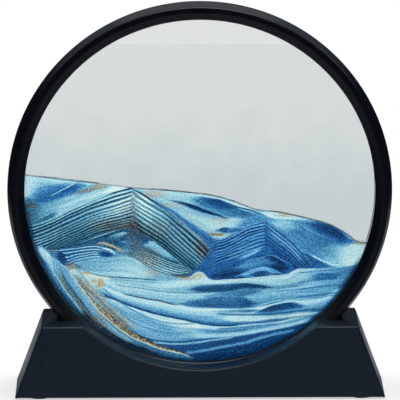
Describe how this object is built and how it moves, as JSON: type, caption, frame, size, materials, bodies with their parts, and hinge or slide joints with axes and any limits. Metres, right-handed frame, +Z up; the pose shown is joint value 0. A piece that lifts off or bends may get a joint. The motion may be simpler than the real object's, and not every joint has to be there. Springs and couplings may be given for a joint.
{
  "type": "moving sand art frame",
  "caption": "Round glass picture of coloured sand in liquid, in a black ring frame that turns in the curved slot of a trapezoid base, so that the sand runs into a new landscape.",
  "frame": {"origin": "on the table, under the middle of the base", "axes": "+X to the right seen from the front, +Y to the back along the ring's axis, +Z up"},
  "size_m": [0.178, 0.036, 0.1842],
  "materials": {
    "base_plastic": "satin",
    "cover_plastic": "matte",
    "screw_steel": "satin",
    "pad_rubber": "matte",
    "ring_plastic": "satin",
    "seal_rubber": "matte",
    "clear_glass": "polished",
    "clear_liquid": "gloss",
    "pale_sand": "matte",
    "dark_sand": "matte",
    "blue_sand": "matte",
    "white_sand": "matte",
    "gold_sand": "satin"
  },
  "bodies": {
    "base": {"base_shell": "base_plastic", "base_cover": "cover_plastic", "cover_screw_front_left": "screw_steel", "cover_screw_front_right": "screw_steel", "cover_screw_rear_left": "screw_steel", "cover_screw_rear_right": "screw_steel", "foot_pad_front_left": "pad_rubber", "foot_pad_front_right": "pad_rubber", "foot_pad_rear_left": "pad_rubber", "foot_pad_rear_right": "pad_rubber"},
    "frame": {"front_bezel": "ring_plastic", "rear_bezel": "ring_plastic", "port_cap": "ring_plastic", "fill_plug": "seal_rubber", "front_gasket": "seal_rubber", "rear_gasket": "seal_rubber", "front_glass": "clear_glass", "rear_glass": "clear_glass", "front_seal": "seal_rubber", "rear_seal": "seal_rubber", "spacer_ring": "seal_rubber"},
    "contents": {"liquid": "clear_liquid", "sand_left_dune": "pale_sand", "sand_right_dune": "pale_sand", "sand_left_ridge": "dark_sand", "sand_right_ridge": "blue_sand", "sand_drift": "white_sand", "sand_gold_vein": "gold_sand", "sand_bed": "blue_sand"}
  },
  "joints": [
    {"name": "frame_spin", "type": "hinge", "parent": "base", "child": "frame", "pos_m": [0, 0, 0.0952], "axis": [0, 1, 0], "continuous": true},
    {"name": "sand_settle", "type": "hinge", "parent": "frame", "child": "contents", "pos_m": [0, 0, 0.0952], "axis": [0, 1, 0], "continuous": true}
  ]
}
